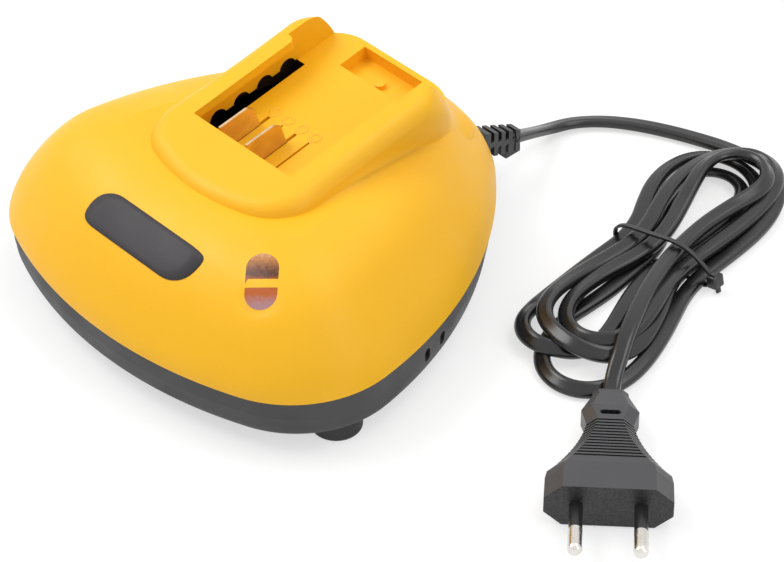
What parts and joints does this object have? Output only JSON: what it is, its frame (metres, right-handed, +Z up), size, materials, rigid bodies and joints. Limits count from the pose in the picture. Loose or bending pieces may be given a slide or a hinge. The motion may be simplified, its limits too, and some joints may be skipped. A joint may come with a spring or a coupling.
{
  "type": "power tool battery charger",
  "caption": "Mains charger for a slide-on tool battery: rounded triangular clamshell housing with a tilted slide dock, indicator window, rubber feet and a bundled cord with a two-pin plug.",
  "frame": {"origin": "on the floor, under the middle of the housing's bounding box, cord and plug left out", "axes": "+Z up, +Y from the battery's entry side towards the rear, where the cord leaves, +X to the right seen from the front"},
  "size_m": [0.2316, 0.2124, 0.0633],
  "materials": {
    "shell_yellow": "fine satin",
    "shell_charcoal": "fine matte",
    "foot_rubber": "matte",
    "screw_steel": "zinc plated",
    "black_moulding": "matte",
    "contact_metal": "polished",
    "wire_red": "satin",
    "wire_black": "satin",
    "wire_brown": "satin",
    "wire_blue": "satin",
    "board_laminate": "lacquered",
    "ferrite": "matte",
    "winding_tape": "satin",
    "capacitor_sleeve": "gloss",
    "fuse_glass": "clear",
    "sink_aluminium": "extruded",
    "led_green": "clear",
    "led_red": "clear tinted",
    "clear_lens": "clear",
    "cord_black": "satin",
    "tie_nylon": "satin",
    "plug_black": "satin",
    "pin_nickel": "polished"
  },
  "bodies": {
    "root": {"upper_housing": "shell_yellow", "lower_housing": "shell_charcoal", "foot_front_left": "foot_rubber", "foot_front_right": "foot_rubber", "foot_rear_left": "foot_rubber", "foot_rear_right": "foot_rubber", "housing_screw_front_left": "screw_steel", "housing_screw_front_right": "screw_steel", "housing_screw_rear_left": "screw_steel", "housing_screw_rear_right": "screw_steel", "board_screw_front_left": "screw_steel", "board_screw_front_right": "screw_steel", "board_screw_rear_left": "screw_steel", "board_screw_rear_right": "screw_steel", "contact_holder": "black_moulding", "contact_blade_positive": "contact_metal", "contact_blade_negative": "contact_metal", "contact_lead_positive": "wire_red", "contact_lead_negative": "wire_black", "circuit_board": "board_laminate", "transformer_core": "ferrite", "transformer_winding": "winding_tape", "capacitor_bulk": "capacitor_sleeve", "capacitor_output": "capacitor_sleeve", "capacitor_filter": "capacitor_sleeve", "fuse": "fuse_glass", "fuse_clip_front": "screw_steel", "fuse_clip_rear": "screw_steel", "rectifier": "black_moulding", "heat_sink": "sink_aluminium", "transistor": "black_moulding", "led_holder": "black_moulding", "led_green": "led_green", "led_red": "led_red", "indicator_lens": "clear_lens", "strain_relief": "cord_black", "mains_lead_live": "wire_brown", "mains_lead_neutral": "wire_blue", "mains_cord": "cord_black", "cord_hank": "cord_black", "cable_tie": "tie_nylon", "plug_body": "plug_black", "plug_pin_left": "pin_nickel", "plug_pin_right": "pin_nickel", "pin_sleeve_left": "plug_black", "pin_sleeve_right": "plug_black"}
  },
  "joints": []
}
